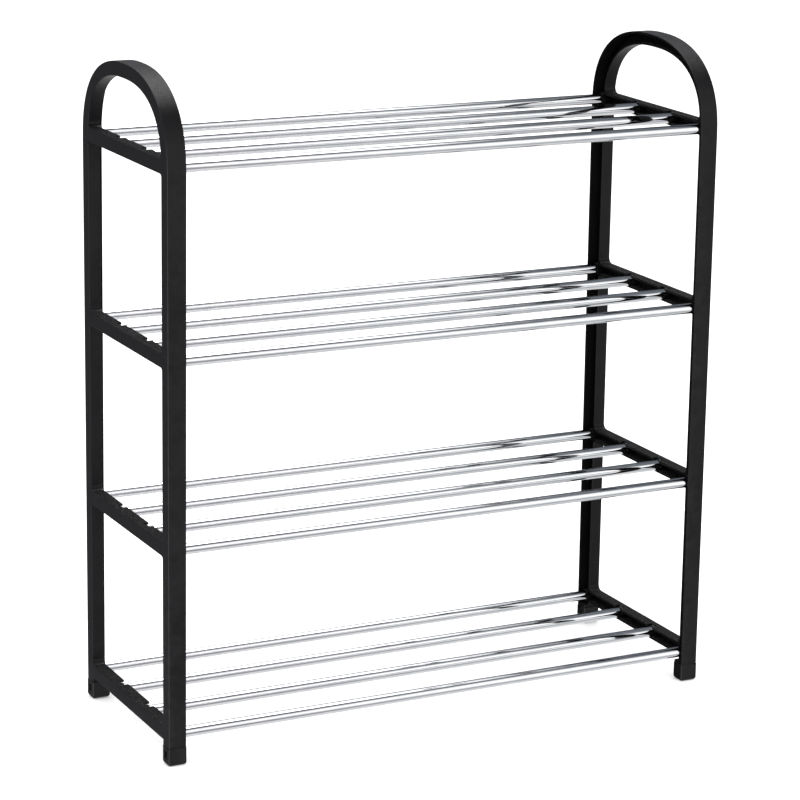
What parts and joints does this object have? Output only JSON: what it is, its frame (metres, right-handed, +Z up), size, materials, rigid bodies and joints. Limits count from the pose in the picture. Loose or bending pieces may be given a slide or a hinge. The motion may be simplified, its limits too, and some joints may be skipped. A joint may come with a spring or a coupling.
{
  "type": "tiered shoe rack",
  "caption": "Free-standing tiered shoe rack: arched black plastic end frames on foot caps, joined by open shelves of slim chromed tubes.",
  "frame": {"origin": "on the floor, at the centre of the four feet", "axes": "+X along the tubes towards the right end frame, +Y from the front to the back, +Z up"},
  "size_m": [0.5006, 0.1836, 0.5605],
  "materials": {
    "black_plastic": "satin moulded black",
    "foot_plastic": "satin moulded black",
    "chrome_tube": "polished chromed steel"
  },
  "bodies": {
    "root": {"left_end_frame": "black_plastic", "right_end_frame": "black_plastic", "left_front_foot_cap": "foot_plastic", "left_rear_foot_cap": "foot_plastic", "right_front_foot_cap": "foot_plastic", "right_rear_foot_cap": "foot_plastic", "tier_1_front_tube": "chrome_tube", "tier_1_front_middle_tube": "chrome_tube", "tier_1_rear_middle_tube": "chrome_tube", "tier_1_rear_tube": "chrome_tube", "tier_2_front_tube": "chrome_tube", "tier_2_front_middle_tube": "chrome_tube", "tier_2_rear_middle_tube": "chrome_tube", "tier_2_rear_tube": "chrome_tube", "tier_3_front_tube": "chrome_tube", "tier_3_front_middle_tube": "chrome_tube", "tier_3_rear_middle_tube": "chrome_tube", "tier_3_rear_tube": "chrome_tube", "tier_4_front_tube": "chrome_tube", "tier_4_front_middle_tube": "chrome_tube", "tier_4_rear_middle_tube": "chrome_tube", "tier_4_rear_tube": "chrome_tube"}
  },
  "joints": []
}
